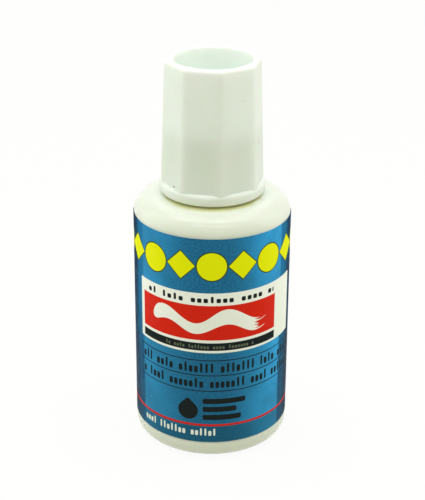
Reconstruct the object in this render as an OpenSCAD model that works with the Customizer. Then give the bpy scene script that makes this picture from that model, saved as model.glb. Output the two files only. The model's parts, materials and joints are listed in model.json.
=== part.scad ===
// Correction fluid bottle: a blow-moulded bottle with a wrapped label, a wiper plug in
// its neck, and an eight-sided screw cap that carries a brush on a stem.
// Millimetres, +Z up, origin at the middle of the base, the label's front faces -Y.

/* [Bottle body] */
// Outside diameter of the body
body_d = 28; // [25:0.5:34]
// Thickness of the body's wall and floor
body_wall = 0.9; // [0.7:0.1:1.2]
// Height at which the rounded shoulder turns level
shoulder_z = 46.9; // [40:0.5:60]
// How far the shoulder's curve reaches inward
shoulder_reach = 4.4; // [3:0.2:4.6]
// How far the shoulder's curve drops
shoulder_drop = 4; // [3:0.2:6]
// Rise of the crown from the shoulder's curve to the neck
crown_rise = 0.3; // [0:0.1:1]
// Rounding round the foot
base_round = 2.4; // [1.6:0.2:3.2]
// Width of the flat ring that the bottle stands on
foot_w = 1.6; // [1:0.2:2.4]
// Height of the dish pushed up under the base
push_up = 1.2; // [0.4:0.1:2]

/* [Label] */
// Height of the label's lower edge above the base
label_low = 3.6; // [3.4:0.1:8]
// Distance from the label's upper edge down from the shoulder's level
label_down = 3.45; // [3.3:0.1:8]
// Thickness of the label film
label_t = 0.1; // [0.08:0.01:0.2]
// Adhesive and slack behind the label
label_seat = 0.02; // [0.01:0.01:0.05]
// Open seam between the label's ends, at the back
label_seam = 1.4; // [0.6:0.2:4]
// Bare margin below the label, down to the edge of its panel
panel_margin = 0.3; // [0.1:0.1:0.6]

/* [Neck] */
// Diameter of the neck at the root of its thread
neck_d = 12.2; // [11.6:0.1:12.4]
// Diameter of the neck's bore
neck_bore_d = 9.6; // [9:0.1:10.2]
// Height of the neck's lip above the crown
neck_h = 9.2; // [8.6:0.2:11]
// Rounding where the neck meets the crown
neck_fillet = 0.5; // [0.2:0.1:0.8]
// Rounding of the lip's outer edge
lip_round = 0.3; // [0.1:0.1:0.5]

/* [Screw thread] */
// Rise of the thread in one turn
thread_lead = 2.5; // [2.1:0.1:2.8]
// Turns of ridge on the neck
thread_turns = 1.6; // [1.2:0.1:1.7]
// Turns of ridge inside the cap
cap_thread_turns = 1.3; // [1:0.1:1.4]
// Height of a ridge off its wall
thread_depth = 0.8; // [0.6:0.05:0.9]
// Width of a ridge at its wall
ridge_foot_w = 1.1; // [0.9:0.05:1.2]
// Width of a ridge at its crest
ridge_crest_w = 0.55; // [0.4:0.05:0.7]
// Radial play between a crest and the wall that it faces
thread_play = 0.25; // [0.2:0.05:0.35]
// Axial play between the two ridges' pressed flanks
flank_play = 0.12; // [0.1:0.02:0.2]
// Distance from the crown up to the start of the neck's ridge
thread_up = 3; // [2.8:0.1:3.4]
// Azimuth at which the neck's ridge starts
thread_start = 200; // [0:5:355]
// Distance from the cap's lower edge up to the start of its own ridge
cap_thread_up = 1.3; // [1:0.1:1.6]

/* [Wiper plug] */
// Diameter of the flange that lies on the lip
wiper_flange_d = 11.4; // [10.8:0.1:11.5]
// Thickness of that flange
wiper_flange_t = 0.9; // [0.6:0.1:1.2]
// Length of the plug below the lip
wiper_len = 8; // [7.8:0.1:9]
// Diameter of the plug's upper bore
wiper_bore_d = 7.2; // [6.8:0.1:7.6]
// Diameter of the hole that wipes the brush
wiper_hole_d = 5.2; // [5:0.1:5.8]
// Length of the wiping hole
wiper_land = 0.9; // [0.5:0.1:1.2]
// Length of the funnel above the wiping hole
wiper_funnel = 1.6; // [1:0.1:2]
// Clearance between the plug and the neck's bore
wiper_fit = 0.03; // [0.01:0.01:0.06]

/* [Cap] */
// Height of the cap from its lower edge to its rim
cap_h = 23.6; // [22:0.1:30]
// Number of flat sides
cap_sides = 8; // [8:1:12]
// Width across the corners just above the flange
cap_low_d = 18.48; // [18.2:0.02:18.6]
// Width across the corners at the rim
cap_top_d = 16.96; // [16.8:0.02:17.6]
// Rounding of the corners, as a cut off their points
corner_cut = 0.1; // [0.05:0.01:0.15]
// How far a corner stands to the right of the label's front, in degrees
corner_angle = 9.2; // [0:0.2:22]
// Diameter of the round flange at the foot
flange_d = 18.5; // [18.5:0.1:21]
// Height of the flange
flange_h = 1.9; // [1.4:0.1:2.2]
// Rounding of the flange's upper edge
flange_round = 0.6; // [0.2:0.05:0.8]
// Rounding of the flange's lower edge
flange_foot_round = 0.3; // [0.1:0.05:0.5]
// Open gap between the flange and the crown
flange_gap = 0.2; // [0.1:0.05:0.6]
// Rounding of the rim's outer edge, along each flat side
rim_round = 0.6; // [0.3:0.05:0.65]
// Diameter of the open hollow at the rim
hollow_d = 13.7; // [13:0.1:13.8]
// Diameter of the hollow at its floor
hollow_floor_d = 13.1; // [12:0.1:13.4]
// Rounding of the hollow's mouth
mouth_round = 0.25; // [0.1:0.05:0.3]
// Rounding round the hollow's floor
hollow_fillet = 0.8; // [0.3:0.1:1.2]
// Thickness of the web between the hollow and the neck
web_t = 1.3; // [1:0.1:1.8]
// Lead-in bevel at the mouth of the threaded bore
bore_bevel = 0.4; // [0.2:0.1:0.5]

/* [Seal washer] */
// Thickness of the washer
washer_t = 0.7; // [0.5:0.1:1]
// Clearance round the washer, inside and outside
washer_play = 0.2; // [0.1:0.05:0.3]
// Gap left between the washer and the wiper's flange
seal_gap = 0.05; // [0.02:0.01:0.1]

/* [Brush] */
// Diameter of the stem
stem_d = 3.5; // [3:0.1:3.8]
// Wall of the cap's socket that holds the stem
socket_wall = 1.1; // [0.9:0.1:1.2]
// Length of that socket
socket_len = 5.4; // [4:0.1:5.6]
// Clearance between the stem and its socket
stem_fit = 0.04; // [0.02:0.01:0.08]
// Thickness of the collar that seats on the socket's end
collar_t = 0.8; // [0.5:0.1:1]
// Diameter of the stem's lower end, which grips the tuft
ferrule_d = 4.3; // [4:0.1:4.6]
// Length of that lower end
ferrule_len = 5; // [4.6:0.2:8]
// Diameter of the tuft's hole
tuft_hole_d = 2.6; // [2.2:0.1:2.8]
// Depth of the tuft's hole
tuft_hole_deep = 3.4; // [3:0.1:4]
// Clearance round the tuft's root
tuft_fit = 0.02; // [0.01:0.01:0.05]
// Free length of the bristles
bristle_len = 13; // [9:0.5:16]
// Diameter of the tuft at its widest
tuft_d = 4.4; // [3.6:0.1:4.6]
// Diameter of the tuft at its tip
tuft_tip_d = 1.8; // [1:0.1:2.4]
// Height of the tuft's tip above the bottle's floor
tip_gap = 6; // [5:0.5:10]
// Width of the anchor plate driven across the tuft's fold
anchor_w = 3.4; // [3:0.1:3.6]
// Height of the anchor plate
anchor_h = 1.3; // [1:0.1:1.6]
// Thickness of the anchor plate
anchor_t = 0.3; // [0.2:0.05:0.4]

/* [Mixing ball] */
// Diameter of the loose steel ball
ball_d = 4.5; // [3:0.5:5]
// Gap between the ball and the wall or floor
ball_gap = 0.05; // [0.02:0.01:0.1]
// Azimuth at which the ball lies
ball_azimuth = 60; // [0:5:355]

/* [Hidden] */
$fn = 96;
ARC_STEPS = 10;      // straight steps in a quarter round
RIDGE_STEPS = 20;    // straight steps of a ridge in one turn
RIDGE_FADE = 3;      // steps over which a ridge rises at its ends
RIDGE_BURY = 0.25;   // how far a ridge's foot lies inside its wall
HUGE = 80;           // larger than the whole cap
WHITE = [0.95, 0.96, 0.92];

// Body
body_r = body_d / 2;
panel_r = body_r - label_t - label_seat;
foot_out = body_r - base_round;
foot_in = foot_out - foot_w;
shoulder_in = body_r - shoulder_reach;
panel_turn = acos((panel_r - shoulder_in) / shoulder_reach);
crown_z = shoulder_z + crown_rise;

// Neck and what stands on it
neck_r = neck_d / 2;
bore_r = neck_bore_d / 2;
lip_z = crown_z + neck_h;
washer_z = lip_z + wiper_flange_t + seal_gap;
ceiling_z = washer_z + washer_t;
cap_z = crown_z + flange_gap;
rim_z = cap_z + cap_h;
flange_z = cap_z + flange_h;
prism_z = flange_z - flange_h / 2;   // where the flat sides start, inside the flange
hollow_z = ceiling_z + web_t;

// Screw thread
ridge_r = neck_r + thread_depth;
cap_bore_r = ridge_r + thread_play;
cap_ridge_r = cap_bore_r - thread_depth;
neck_ridge_z = crown_z + thread_up;
ridge_slope = (ridge_foot_w - ridge_crest_w) / 2 / thread_depth;
flank_shift = ridge_foot_w - ridge_slope * (thread_depth - thread_play) + flank_play;
cap_ridge_z = cap_z + cap_thread_up;
cap_ridge_turn = (cap_ridge_z - (neck_ridge_z - flank_shift)) / thread_lead * 360;

// Brush
stem_r = stem_d / 2;
socket_r = stem_r + stem_fit + socket_wall;
socket_z = ceiling_z - socket_len;
tip_z = body_wall + push_up + tip_gap;
stem_end_z = tip_z + bristle_len;
anchor_z = stem_end_z + tuft_hole_deep - anchor_h - tuft_fit;
tuft_root_r = tuft_hole_d / 2 - tuft_fit;

// Mixing ball
ball_r = ball_d / 2;
ball_x = body_r - body_wall - ball_r - ball_gap;

// Points of an ellipse's arc in the half plane of a revolve
function arc(x, z, rx, rz, from, to) =
    let (n = max(2, ceil(ARC_STEPS * abs(to - from) / 90)))
    [for (i = [0:n]) let (a = from + (to - from) * i / n) [x + rx * cos(a), z + rz * sin(a)]];

// Height of the dished base under radius r, measured on its lower face
function dish(r) = r < foot_in ? push_up * (1 - pow(r / foot_in, 2)) : 0;

// Points along the dish between the axis and the foot ring, raised by lift
function dish_points(lift) =
    [for (i = [0:ARC_STEPS]) let (r = foot_in * i / ARC_STEPS) [r, dish(r) + lift]];

function reversed(list) = [for (i = [len(list) - 1:-1:0]) list[i]];

// Helical ridge on a round wall. It stands out from wall_r to crest_r, or inward where
// crest_r is the smaller, and dies away into the wall at both ends.
module ridge(wall_r, crest_r, turns, start_z, start_turn) {
    out = crest_r > wall_r ? 1 : -1;
    n = round(turns * RIDGE_STEPS);
    half_foot = ridge_foot_w / 2 + ridge_slope * RIDGE_BURY;
    half_crest = ridge_crest_w / 2;
    buried_r = wall_r - out * RIDGE_BURY;
    low_r = wall_r - out * RIDGE_BURY / 2;
    points = [for (i = [0:n])
        let (turn = start_turn + 360 * i / RIDGE_STEPS,
             z = start_z + thread_lead * i / RIDGE_STEPS,
             grown = min(1, i / RIDGE_FADE, (n - i) / RIDGE_FADE),
             top_r = low_r + (crest_r - low_r) * grown)
        for (p = [[buried_r, -half_foot], [top_r, -half_crest],
                  [top_r, half_crest], [buried_r, half_foot]])
        [p[0] * cos(turn), p[0] * sin(turn), z + p[1]]];
    sides = [for (i = [0:n - 1], k = [0:3])
        let (a = 4 * i + k, b = 4 * i + (k + 1) % 4)
        [a, b, b + 4, a + 4]];
    ends = [[3, 2, 1, 0], [4 * n, 4 * n + 1, 4 * n + 2, 4 * n + 3]];
    faces = concat(sides, ends);
    // The section runs the other way round on an inward ridge
    polyhedron(points, out > 0 ? faces : [for (f = faces) reversed(f)]);
}

// Blow-moulded body with its threaded neck, one wall all round
module bottle() {
    outside = concat(
        dish_points(0),
        arc(foot_out, base_round, base_round, base_round, -90, 0),
        [[body_r, label_low - panel_margin], [panel_r, label_low - panel_margin]],
        arc(shoulder_in, shoulder_z - shoulder_drop, shoulder_reach, shoulder_drop, panel_turn, 90),
        arc(neck_r + neck_fillet, crown_z + neck_fillet, neck_fillet, neck_fillet, 270, 180),
        arc(neck_r - lip_round, lip_z - lip_round, lip_round, lip_round, 0, 90));
    inside = concat(
        dish_points(body_wall),
        arc(foot_out, base_round, base_round - body_wall, base_round - body_wall, -90, 0),
        arc(shoulder_in, shoulder_z - shoulder_drop,
            shoulder_reach - body_wall, shoulder_drop - body_wall, 0, 90),
        [[bore_r + neck_fillet, crown_z - body_wall], [bore_r, crown_z - body_wall + neck_fillet],
         [bore_r, lip_z]]);
    color(WHITE) {
        rotate_extrude() polygon(concat(outside, reversed(inside)));
        ridge(neck_r, ridge_r, thread_turns, neck_ridge_z, thread_start);
    }
}

// Printed film wrapped round the panel, open at its seam
module label() {
    label_h = shoulder_z - label_down - label_low;
    color([0.16, 0.45, 0.6])
    translate([0, 0, label_low])
    difference() {
        cylinder(h = label_h, r = body_r);
        translate([0, 0, -1]) cylinder(h = label_h + 2, r = panel_r + label_seat);
        translate([-label_seam / 2, 0, -1]) cube([label_seam, body_r + 1, label_h + 2]);
    }
}

// Plug in the neck with a funnel down to the hole that wipes the brush
module wiper_insert() {
    plug_r = bore_r - wiper_fit;
    foot_z = lip_z - wiper_len;
    hole_r = wiper_hole_d / 2;
    wide_r = wiper_bore_d / 2;
    foot_w = 1;
    lead_in = plug_r - hole_r - foot_w;
    color([0.88, 0.9, 0.86])
    rotate_extrude() polygon([
        [hole_r, foot_z],
        [plug_r - lead_in, foot_z],
        [plug_r, foot_z + lead_in],
        [plug_r, lip_z],
        [wiper_flange_d / 2, lip_z],
        [wiper_flange_d / 2, lip_z + wiper_flange_t],
        [wide_r, lip_z + wiper_flange_t],
        [wide_r, foot_z + wiper_land + wiper_funnel],
        [hole_r, foot_z + wiper_land]]);
}

// Loose steel ball that stirs the fluid when the bottle is shaken
module mixing_ball() {
    // The lowest height at which the ball clears the dish as well as the foot's groove
    rest_z = max([for (a = [0:5:60]) dish(ball_x - ball_r * sin(a)) + ball_r * cos(a)]);
    color([0.75, 0.76, 0.78])
    rotate([0, 0, ball_azimuth])
    translate([ball_x, 0, body_wall + rest_z + ball_gap])
    sphere(r = ball_r);
}

// Liner ring between the wiper's flange and the cap's ceiling
module seal_washer() {
    hole_r = socket_r + washer_play;
    color([0.93, 0.94, 0.9])
    translate([0, 0, washer_z])
    difference() {
        cylinder(h = washer_t, r = cap_bore_r - washer_play);
        translate([0, 0, -1]) cylinder(h = washer_t + 2, r = hole_r);
    }
}

// One flat side of the cap as a slab that leans by the mould's draft, rounded at the rim
module cap_side() {
    low_r = cap_low_d / 2 * cos(180 / cap_sides);
    top_r = cap_top_d / 2 * cos(180 / cap_sides);
    draft = atan((low_r - top_r) / (rim_z - flange_z));
    rotate([90, 0, 0])
    linear_extrude(height = HUGE, center = true) polygon(concat(
        [[-HUGE, prism_z], [low_r, prism_z], [low_r, flange_z]],
        arc(top_r - rim_round * tan((90 - draft) / 2), rim_z - rim_round,
            rim_round, rim_round, draft, 90),
        [[-HUGE, rim_z]]));
}

// Tapered prism of all the flat sides, its corners blunted by a cone
module cap_prism() {
    low_r = cap_low_d / 2 - corner_cut;
    top_r = cap_top_d / 2 - corner_cut;
    intersection() {
        intersection_for (i = [0:cap_sides - 1])
            rotate([0, 0, corner_angle - 90 + 180 / cap_sides * (2 * i + 1)]) cap_side();
        rotate_extrude() polygon([[0, prism_z], [low_r, prism_z], [low_r, flange_z],
                                  [top_r, rim_z], [0, rim_z]]);
    }
}

// Screw cap in one moulding: flange, tapered sides, open hollow on top, threaded bore
// and the socket that holds the brush
module cap() {
    flange_r = flange_d / 2;
    mouth_r = hollow_d / 2;
    floor_r = hollow_floor_d / 2;
    color(WHITE) {
        difference() {
            union() {
                cap_prism();
                rotate_extrude() polygon(concat(
                    [[0, cap_z]],
                    arc(flange_r - flange_foot_round, cap_z + flange_foot_round,
                        flange_foot_round, flange_foot_round, -90, 0),
                    arc(flange_r - flange_round, flange_z - flange_round,
                        flange_round, flange_round, 0, 90),
                    [[0, flange_z]]));
            }
            // Open hollow
            rotate_extrude() polygon(concat(
                [[0, hollow_z]],
                arc(floor_r - hollow_fillet, hollow_z + hollow_fillet,
                    hollow_fillet, hollow_fillet, -90, 0),
                arc(mouth_r + mouth_round, rim_z - mouth_round, mouth_round, mouth_round, 180, 90),
                [[mouth_r + mouth_round, rim_z + 1], [0, rim_z + 1]]));
            // Threaded bore, left solid where the socket hangs in it
            rotate_extrude() polygon([
                [socket_r, cap_z - 1],
                [cap_bore_r + bore_bevel, cap_z - 1],
                [cap_bore_r + bore_bevel, cap_z],
                [cap_bore_r, cap_z + bore_bevel],
                [cap_bore_r, ceiling_z],
                [socket_r, ceiling_z]]);
            // Bore of the socket and the open space below it
            rotate_extrude() polygon([
                [0, cap_z - 1],
                [socket_r + 1, cap_z - 1],
                [socket_r + 1, socket_z],
                [stem_r + stem_fit, socket_z],
                [stem_r + stem_fit, ceiling_z],
                [0, ceiling_z]]);
        }
        ridge(cap_bore_r, cap_ridge_r, cap_thread_turns, cap_ridge_z, thread_start + cap_ridge_turn);
    }
}

// Moulded stem: head in the cap's socket, collar on its end, and a ferrule for the tuft
module brush_stem() {
    bevel = 0.3;
    neck_in = 1;
    ferrule_r = ferrule_d / 2;
    ferrule_top = stem_end_z + ferrule_len;
    color([0.9, 0.92, 0.88])
    difference() {
        rotate_extrude() polygon([
            [0, stem_end_z],
            [ferrule_r - bevel, stem_end_z],
            [ferrule_r, stem_end_z + bevel],
            [ferrule_r, ferrule_top],
            [stem_r, ferrule_top + neck_in],
            [stem_r, socket_z - collar_t],
            [socket_r, socket_z - collar_t],
            [socket_r, socket_z],
            [stem_r, socket_z],
            [stem_r, ceiling_z - bevel - stem_fit],
            [stem_r - bevel, ceiling_z - stem_fit],
            [0, ceiling_z - stem_fit]]);
        translate([0, 0, stem_end_z - 1]) cylinder(h = tuft_hole_deep + 1, d = tuft_hole_d);
        anchor_block(tuft_fit);
    }
}

// Outline of the anchor plate, with room left all round it
module anchor_block(room) {
    translate([0, 0, anchor_z + anchor_h / 2])
    cube([anchor_w + 2 * room, anchor_t + 2 * room, anchor_h + 2 * room], center = true);
}

// Metal plate that holds the folded tuft in the stem
module brush_anchor() {
    color([0.8, 0.78, 0.7])
    anchor_block(0);
}

// Tuft of filaments, fused at its root, widest at the middle and drawn to a soft point
module bristles() {
    belly_share = 0.45;   // height of the widest place, as a share of the free length
    tip_round = 0.4;
    low_turn = -25;       // where the lower curve leaves the tip
    high_turn = 30;       // where the upper curve leaves the widest place
    belly_z = tip_z + bristle_len * belly_share;
    color([0.97, 0.97, 0.94])
    difference() {
        rotate_extrude() polygon(concat(
            [[0, tip_z]],
            arc(tuft_tip_d / 2 - tip_round, tip_z + tip_round, tip_round, tip_round, -90, 0),
            arc(0, belly_z, tuft_d / 2, belly_z - tip_z, low_turn, 0),
            arc(tuft_root_r, belly_z, tuft_d / 2 - tuft_root_r, stem_end_z - belly_z, high_turn, 90),
            [[tuft_root_r, stem_end_z + tuft_hole_deep - tuft_fit],
             [0, stem_end_z + tuft_hole_deep - tuft_fit]]));
        anchor_block(tuft_fit);
    }
}

bottle();
label();
wiper_insert();
mixing_ball();
seal_washer();
cap();
brush_stem();
brush_anchor();
bristles();
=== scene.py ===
# %% [markdown]
# # A correction fluid bottle with a brush in its cap
# The CAD model gives every place and size. This script keeps that frame and dresses it: the blown
# bottle, its printed label and the eight-sided cap get finer meshes, the brush gets real bristles,
# and every piece gets a finish made of nodes. Pieces whose CAD mesh is already exact, such as the
# steel ball, keep it and only change their material.

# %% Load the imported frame
import json
import math
import bpy
from mathutils import Matrix, Quaternion

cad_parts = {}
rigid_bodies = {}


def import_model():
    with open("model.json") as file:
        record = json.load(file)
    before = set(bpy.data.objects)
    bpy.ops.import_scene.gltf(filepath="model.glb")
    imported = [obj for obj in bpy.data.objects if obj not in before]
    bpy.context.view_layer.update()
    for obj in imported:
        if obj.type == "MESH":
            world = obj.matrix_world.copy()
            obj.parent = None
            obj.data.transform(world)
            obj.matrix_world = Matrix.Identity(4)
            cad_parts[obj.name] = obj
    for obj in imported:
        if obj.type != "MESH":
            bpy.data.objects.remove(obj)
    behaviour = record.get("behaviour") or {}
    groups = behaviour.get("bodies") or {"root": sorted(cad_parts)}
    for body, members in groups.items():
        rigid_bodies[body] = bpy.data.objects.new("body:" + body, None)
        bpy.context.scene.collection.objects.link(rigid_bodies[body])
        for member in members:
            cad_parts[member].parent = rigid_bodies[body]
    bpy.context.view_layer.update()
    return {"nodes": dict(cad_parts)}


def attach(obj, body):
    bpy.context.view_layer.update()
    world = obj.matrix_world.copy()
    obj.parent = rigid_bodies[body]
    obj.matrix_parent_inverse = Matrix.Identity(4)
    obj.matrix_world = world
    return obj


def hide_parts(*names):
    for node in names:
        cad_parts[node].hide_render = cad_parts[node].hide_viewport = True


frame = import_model()

# %% [markdown]
# ## The camera
# The photograph was taken from a little above the cap with a long lens. The lens is worked out from
# the picture: a point that is one unit to the side at one unit of distance lands 1349 pixels from
# the middle. Blender's sensor spans the longer side of the picture, so the focal length in
# millimetres is 1349 pixels out of 500 of a 36 mm sensor. A roll of a third of a degree is turned
# about the camera's own axis, after the pitch.

# %% Place the camera where the photographer stood
MM = 0.001
PICTURE_H = 500
FOCAL_PIXELS = 1349
SENSOR_MM = 36
CAMERA_AT = (0.0, -0.22148, 0.13500)
PITCH_DOWN = 0.423
ROLL = 0.006

lens = bpy.data.cameras.new("photo_camera")
lens.sensor_width = SENSOR_MM
lens.lens = FOCAL_PIXELS / PICTURE_H * SENSOR_MM
lens.shift_x = 0.001
lens.clip_start = 0.01
camera = bpy.data.objects.new("photo_camera", lens)
bpy.context.scene.collection.objects.link(camera)
camera.matrix_world = (Matrix.Translation(CAMERA_AT)
                       @ Matrix.Rotation(math.pi / 2 - PITCH_DOWN, 4, "X")
                       @ Matrix.Rotation(ROLL, 4, "Z"))
bpy.context.scene.camera = camera
bpy.context.scene.view_settings.view_transform = "Standard"
print(f"focal length {lens.lens:.1f} mm")

# %% [markdown]
# ## A short way to write nodes
# Every finish below is a small network of nodes. `Bench` places a node, feeds its inputs and hands
# back an output, so that a network reads like a sum. An input that is given a socket is linked, and
# anything else is set as a plain value. `new_tree` starts a node group with named inputs, and
# `new_finish` starts a material.

# %% The bench that nodes are laid out on
def srgb(red, green, blue):
    """A colour as a picture editor shows it, turned into the linear values that nodes use."""
    def linear(value):
        value = value / 255
        return value / 12.92 if value <= 0.04045 else ((value + 0.055) / 1.055) ** 2.4
    return (linear(red), linear(green), linear(blue), 1.0)


class Bench:
    """Lays out the nodes of one tree."""

    def __init__(self, tree):
        self.tree = tree

    def feed(self, socket, value):
        if isinstance(value, bpy.types.NodeSocket):
            self.tree.links.new(value, socket)
        else:
            socket.default_value = value

    def place(self, kind, inputs=(), **settings):
        """Places a node. Inputs are named by identifier where several share a name."""
        made = self.tree.nodes.new(kind)
        for name, value in settings.items():
            setattr(made, name, value)
        for name, value in dict(inputs).items():
            match = [s for s in made.inputs if s.identifier == name] or [made.inputs[name]]
            self.feed(match[0], value)
        return made

    def sum(self, operation, *values, clamp=False):
        """One Math node, such as sum("ADD", a, b)."""
        made = self.tree.nodes.new("ShaderNodeMath")
        made.operation = operation
        made.use_clamp = clamp
        for socket, value in zip(made.inputs, values):
            self.feed(socket, value)
        return made.outputs["Value"]

    def length(self, x, y):
        """How far a point with these two coordinates lies from zero."""
        squares = [self.sum("MULTIPLY", value, value) for value in (x, y)]
        return self.sum("SQRT", self.sum("ADD", *squares))

    def ramp(self, value, low, high, to_low=0.0, to_high=1.0, smooth=True):
        """Maps low..high to to_low..to_high, held at both ends."""
        made = self.place("ShaderNodeMapRange",
                          interpolation_type="SMOOTHSTEP" if smooth else "LINEAR")
        names = ("Value", "From Min", "From Max", "To Min", "To Max")
        for name, number in zip(names, (value, low, high, to_low, to_high)):
            self.feed(made.inputs[name], number)
        return made.outputs["Result"]

    def paint(self, mask, under, over):
        """The colour under, covered with the colour over where the mask is 1."""
        made = self.place("ShaderNodeMix", {"Factor_Float": mask, "A_Color": under, "B_Color": over},
                          data_type="RGBA")
        return next(s for s in made.outputs if s.identifier == "Result_Color")

    def group(self, tree, **inputs):
        """Places a shader group. Its inputs are given with _ for a space."""
        made = self.place("ShaderNodeGroup", node_tree=tree)
        for name, value in inputs.items():
            self.feed(made.inputs[name.replace("_", " ")], value)
        return made


def new_finish(name):
    """A new material, with the bench for its nodes and its shader."""
    material = bpy.data.materials.new(name)
    material.use_nodes = True
    return material, Bench(material.node_tree), material.node_tree.nodes["Principled BSDF"]


def emboss(bench, shader, height, depth_mm):
    """Lets a height pattern of this depth turn the surface's shading."""
    bump = bench.place("ShaderNodeBump", {
        "Strength": 1.0, "Distance": depth_mm * MM, "Height": height})
    bench.feed(shader.inputs["Normal"], bump.outputs["Normal"])


def new_tree(name, kind, inputs, outputs):
    """A node group whose inputs and outputs are (name, socket type, default) and (name, type)."""
    tree = bpy.data.node_groups.new(name, kind)
    for label, socket, start in inputs:
        made = tree.interface.new_socket(label, in_out="INPUT", socket_type=socket)
        if start is not None:
            made.default_value = start
    for label, socket in outputs:
        tree.interface.new_socket(label, in_out="OUTPUT", socket_type=socket)
    bench = Bench(tree)
    return bench, tree.nodes.new("NodeGroupInput").outputs, tree.nodes.new("NodeGroupOutput").inputs


print("bench ready")

# %% [markdown]
# ## Groups that several finishes share
# A moulded plastic skin is never quite even: it has a fine grain from the steel of the mould and
# slow waves where it shrank. Dust and dark specks lie on it here and there. Both effects are built
# once as groups and go into each plastic with its own numbers. They read Object coordinates, which
# are metres in the part's own frame, so the grain keeps its size and stays on the piece when the
# cap turns.

# %% Group: moulded skin
FLOAT = "NodeSocketFloat"
VECTOR = "NodeSocketVector"

bench, given, result = new_tree(
    "moulded_skin", "ShaderNodeTree",
    [("Grain mm", FLOAT, 0.25), ("Waves mm", FLOAT, 6.0)],
    [("Height", FLOAT), ("Cloud", FLOAT)])
here = bench.place("ShaderNodeTexCoord").outputs["Object"]
fine = bench.place("ShaderNodeTexNoise", {
    "Vector": here, "Scale": bench.sum("DIVIDE", 1 / MM, given["Grain mm"]), "Detail": 2.0})
slow = bench.place("ShaderNodeTexNoise", {
    "Vector": here, "Scale": bench.sum("DIVIDE", 1 / MM, given["Waves mm"]), "Detail": 1.0})
bench.feed(result["Height"], bench.sum(
    "ADD", bench.sum("MULTIPLY", fine.outputs["Fac"], 0.15), slow.outputs["Fac"]))
bench.feed(result["Cloud"], slow.outputs["Fac"])
moulded_skin = bench.tree
print("moulded_skin:", len(moulded_skin.nodes), "nodes")

# %% Group: specks
bench, given, result = new_tree(
    "specks", "ShaderNodeTree",
    [("Spacing mm", FLOAT, 4.0), ("Size mm", FLOAT, 0.12), ("Share", FLOAT, 0.3)],
    [("Mask", FLOAT)])
here = bench.place("ShaderNodeTexCoord").outputs["Object"]
cells = bench.place("ShaderNodeTexVoronoi", {
    "Vector": here, "Scale": bench.sum("DIVIDE", 1 / MM, given["Spacing mm"])})
chance = bench.place("ShaderNodeSeparateColor", {"Color": cells.outputs["Color"]}).outputs["Red"]
reach = bench.sum("DIVIDE", given["Size mm"], given["Spacing mm"])
inside = bench.ramp(bench.sum("DIVIDE", cells.outputs["Distance"], reach), 1.0, 0.6)
chosen = bench.sum("LESS_THAN", chance, given["Share"])
bench.feed(result["Mask"], bench.sum("MULTIPLY", inside, chosen))
specks = bench.tree
print("specks:", len(specks.nodes), "nodes")

# %% [markdown]
# ## Turning a piece
# A bottle, a cap's blank and a round label are turned shapes, so each starts as one closed outline
# in the half plane of radius and height, and `turned` spins it round Z. The outline runs so that
# the material is on its left, which makes every face point outwards. A point on the axis becomes a
# single vertex, so the pole is closed. Blender's own Spin tool or a Screw modifier could do this
# too, but then the seam and the poles have to be merged and the normals checked.

# %% Spin an outline into a closed mesh
def arc(x, z, rx, rz, start, end, steps):
    """Points along an ellipse's arc, in degrees from the +radius direction."""
    turns = [math.radians(start + (end - start) * i / steps) for i in range(steps + 1)]
    return [(x + rx * math.cos(a), z + rz * math.sin(a)) for a in turns]


def turned(outline, columns):
    """The points and faces of a closed outline spun round Z, with a column at each angle."""
    points, rings, faces = [], [], []
    for radius, height in outline:
        if radius < 1e-6:
            rings.append([len(points)] * len(columns))
            points.append((0.0, 0.0, height))
        else:
            rings.append(range(len(points), len(points) + len(columns)))
            points += [(radius * math.cos(a), radius * math.sin(a), height) for a in columns]
    for ring, above in zip(rings, rings[1:] + rings[:1]):
        for i in range(len(columns)):
            j = (i + 1) % len(columns)
            corners = dict.fromkeys((ring[i], ring[j], above[j], above[i]))
            if len(corners) > 2:
                faces.append(tuple(corners))
    return points, faces


def new_piece(name, points, faces, sharp_degrees=32):
    """A mesh object from points in millimetres, smooth except across sharp edges."""
    mesh = bpy.data.meshes.new(name)
    mesh.from_pydata([(x * MM, y * MM, z * MM) for x, y, z in points], [], faces)
    mesh.validate()
    mesh.shade_smooth()
    mesh.set_sharp_from_angle(angle=math.radians(sharp_degrees))
    piece = bpy.data.objects.new(name, mesh)
    bpy.context.scene.collection.objects.link(piece)
    return piece


def even_columns(count):
    return [2 * math.pi * i / count for i in range(count)]


print("a turned ring of 3 points has", len(turned([(1, 0), (2, 0), (1, 1)], even_columns(8))[1]), "faces")

# %% [markdown]
# ## The screw thread, as a Geometry Nodes tree
# A thread follows a helix, so it is a job for Geometry Nodes: a Spiral curve, its normals set to Z
# up so that the section doesn't twist, and a Curve to Mesh that sweeps a four-cornered section
# along it. The section grows from nothing at both ends, as a real ridge dies away. The same tree
# makes the ridge that stands out from the neck and the one that points inward in the cap: a
# negative height turns the section over, and the faces are flipped back.

# %% Tree: a ridge that joins the wall it is given
GEOMETRY = "NodeSocketGeometry"

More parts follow.
